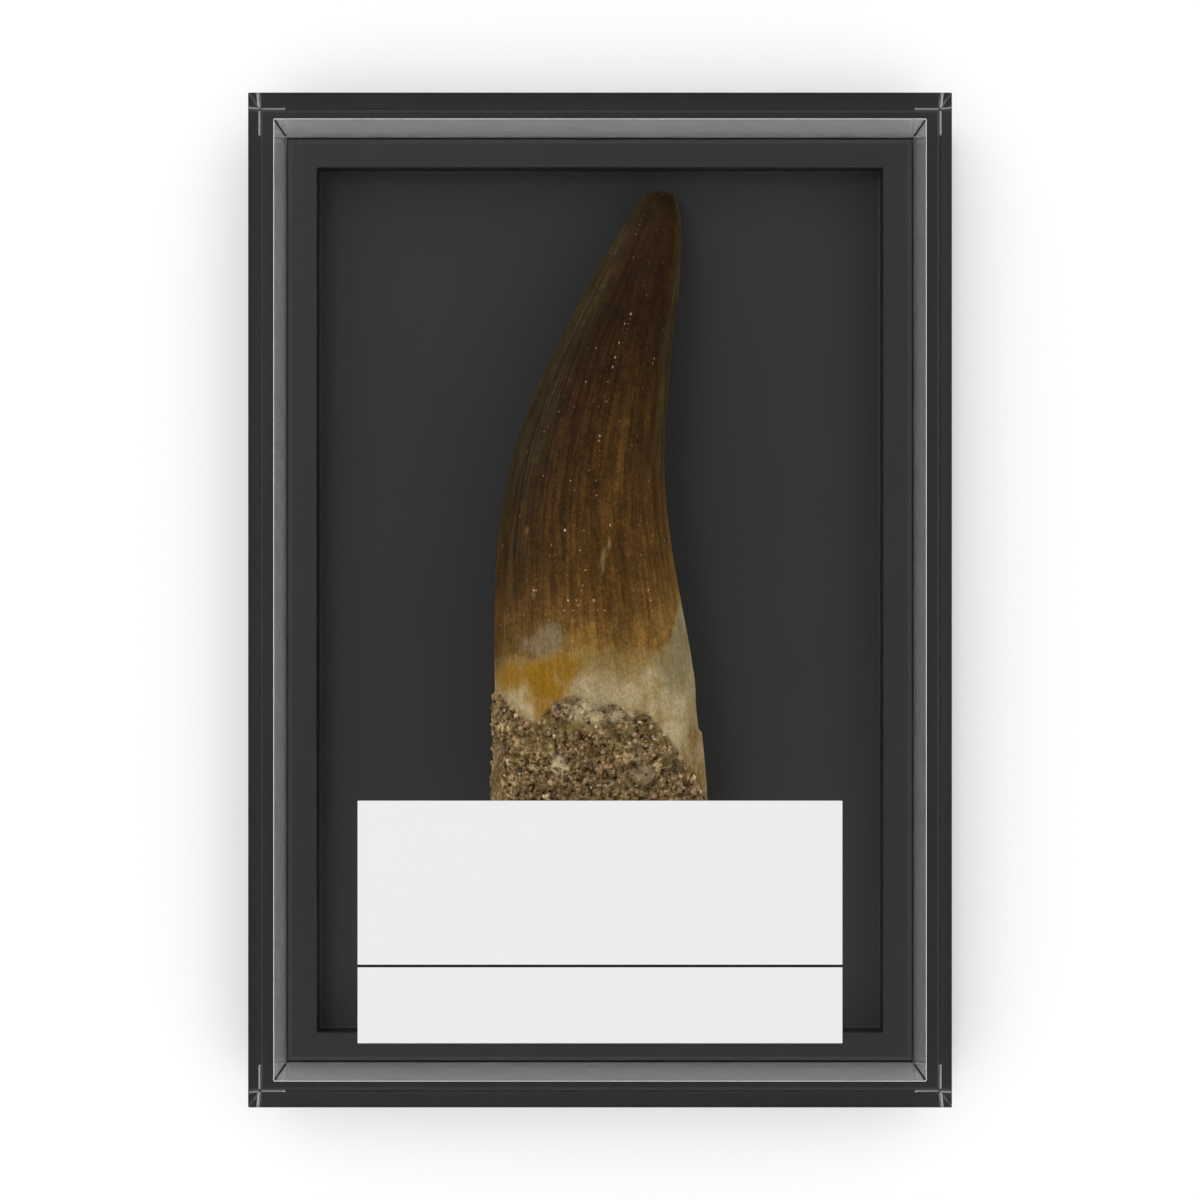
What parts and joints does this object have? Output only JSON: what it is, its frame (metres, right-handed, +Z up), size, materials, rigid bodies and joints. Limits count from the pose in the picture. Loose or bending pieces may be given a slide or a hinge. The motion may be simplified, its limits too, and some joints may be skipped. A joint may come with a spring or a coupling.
{
  "type": "fossil plesiosaur tooth in a specimen case",
  "caption": "Curved conical fossil tooth with striated brown crown, pale root and adhering sandy rock, lying in a shallow black tray under a clear box cover with a blank card label.",
  "frame": {"origin": "middle of the case's flat underside", "axes": "+Z up, +Y along the case's length towards the tooth's tip, +X across the case"},
  "size_m": [0.0502, 0.0724, 0.0189],
  "materials": {
    "black_plastic": "fine satin moulded surface",
    "clear_plastic": "clear, polished",
    "fossil": "satin enamel, dull root and grainy rock",
    "white_card": "smooth uncoated card"
  },
  "bodies": {
    "root": {"case_base": "black_plastic", "case_cover": "clear_plastic", "tooth": "fossil", "label": "white_card"}
  },
  "joints": []
}
